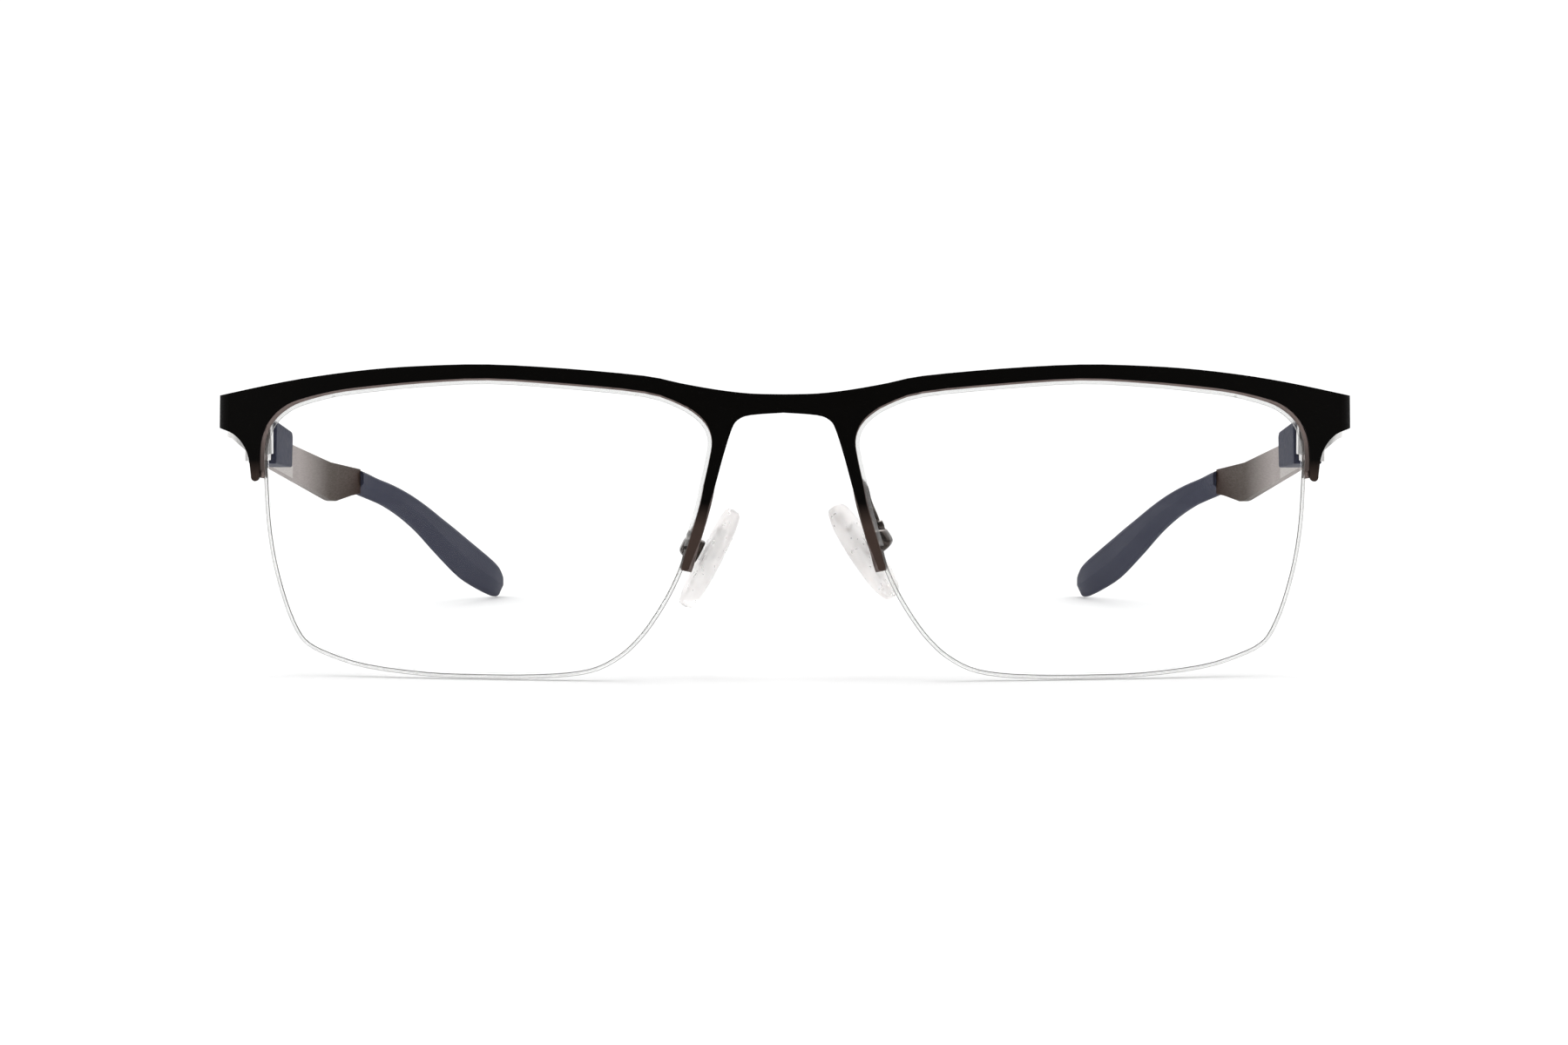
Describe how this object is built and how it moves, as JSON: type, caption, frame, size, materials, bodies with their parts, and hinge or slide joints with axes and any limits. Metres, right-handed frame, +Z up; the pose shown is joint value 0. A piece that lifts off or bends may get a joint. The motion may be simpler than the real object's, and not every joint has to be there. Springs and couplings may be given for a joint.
{
  "type": "half rim eyeglasses",
  "caption": "Half rim eyeglasses: black sheet metal brow front, clear lenses held from below by nylon thread, rocking nose pads and sprung folding temples.",
  "frame": {"origin": "on the floor under the middle of the part's box, on the plane between the lenses", "axes": "+X to the right seen from the front, +Y from the front to the temple tips, +Z up"},
  "size_m": [0.1454, 0.1482, 0.0398],
  "materials": {
    "front_plate": "matte black",
    "rim": "satin brown-grey",
    "rim_liner": "clear",
    "lens": "clear polished",
    "lens_thread": "clear nylon",
    "pad_arm": "polished gunmetal",
    "pad_box": "polished gunmetal",
    "pad_screw": "bright steel",
    "pad_insert": "clear hard plastic",
    "nose_pad": "milky clear silicone",
    "hinge_block": "satin silver",
    "hinge_screw": "bright steel",
    "hinge_slider": "satin silver",
    "hinge_spring": "spring wire",
    "hinge_housing": "satin silver",
    "hinge_cover": "matte navy",
    "temple_plate": "satin gunmetal",
    "temple_tip": "matte navy"
  },
  "bodies": {
    "front": {"front_plate": "front_plate", "left_rim": "rim", "left_rim_liner": "rim_liner", "left_lens": "lens", "left_lens_thread": "lens_thread", "left_pad_arm": "pad_arm", "left_pad_box": "pad_box", "left_pad_screw": "pad_screw", "left_hinge_block": "hinge_block", "right_rim": "rim", "right_rim_liner": "rim_liner", "right_lens": "lens", "right_lens_thread": "lens_thread", "right_pad_arm": "pad_arm", "right_pad_box": "pad_box", "right_pad_screw": "pad_screw", "right_hinge_block": "hinge_block"},
    "left_pad": {"left_pad_insert": "pad_insert", "left_nose_pad": "nose_pad"},
    "left_screw": {"left_hinge_screw": "hinge_screw"},
    "left_slider": {"left_hinge_slider": "hinge_slider"},
    "left_temple": {"left_hinge_spring": "hinge_spring", "left_hinge_housing": "hinge_housing", "left_hinge_cover": "hinge_cover", "left_temple_plate": "temple_plate", "left_temple_tip": "temple_tip"},
    "right_pad": {"right_pad_insert": "pad_insert", "right_nose_pad": "nose_pad"},
    "right_screw": {"right_hinge_screw": "hinge_screw"},
    "right_slider": {"right_hinge_slider": "hinge_slider"},
    "right_temple": {"right_hinge_spring": "hinge_spring", "right_hinge_housing": "hinge_housing", "right_hinge_cover": "hinge_cover", "right_temple_plate": "temple_plate", "right_temple_tip": "temple_tip"}
  },
  "joints": [
    {"name": "left_over_open", "type": "hinge", "parent": "front", "child": "left_screw", "pos_m": [-0.0678, -0.0567, 0.0301], "axis": [0, 0, -1], "range_deg": [-12, 0], "stiffness_Nm_per_rad": 0.25, "springref_deg": 6.88},
    {"name": "left_fold", "type": "hinge", "parent": "left_screw", "child": "left_slider", "pos_m": [-0.0678, -0.0567, 0.0301], "axis": [0, 0, -1], "range_deg": [0, 82]},
    {"name": "left_spring_slide", "type": "slide", "parent": "left_slider", "child": "left_temple", "axis": [0.0795, 0.9883, -0.1305], "range_m": [0, 0.0007], "deforming": ["left_hinge_spring"]},
    {"name": "left_pad_rock", "type": "hinge", "parent": "front", "child": "left_pad", "pos_m": [-0.0116, -0.06645, 0.01623], "axis": [-0.1238, 0.9903, 0.0636], "range_deg": [-8, 8]},
    {"name": "right_over_open", "type": "hinge", "parent": "front", "child": "right_screw", "pos_m": [0.0678, -0.0567, 0.0301], "axis": [0, 0, 1], "range_deg": [-12, 0], "stiffness_Nm_per_rad": 0.25, "springref_deg": 6.88},
    {"name": "right_fold", "type": "hinge", "parent": "right_screw", "child": "right_slider", "pos_m": [0.0678, -0.0567, 0.0301], "axis": [0, 0, 1], "range_deg": [0, 66]},
    {"name": "right_spring_slide", "type": "slide", "parent": "right_slider", "child": "right_temple", "axis": [-0.0795, 0.9883, -0.1305], "range_m": [0, 0.0007], "deforming": ["right_hinge_spring"]},
    {"name": "right_pad_rock", "type": "hinge", "parent": "front", "child": "right_pad", "pos_m": [0.0121, -0.06683, 0.01732], "axis": [0.2441, 0.9563, 0.1609], "range_deg": [-8, 8]}
  ],
  "couplings": [
    {"joint": "left_spring_slide", "follows": "left_over_open", "m_per_rad": -0.0032},
    {"joint": "right_spring_slide", "follows": "right_over_open", "m_per_rad": -0.0032}
  ]
}
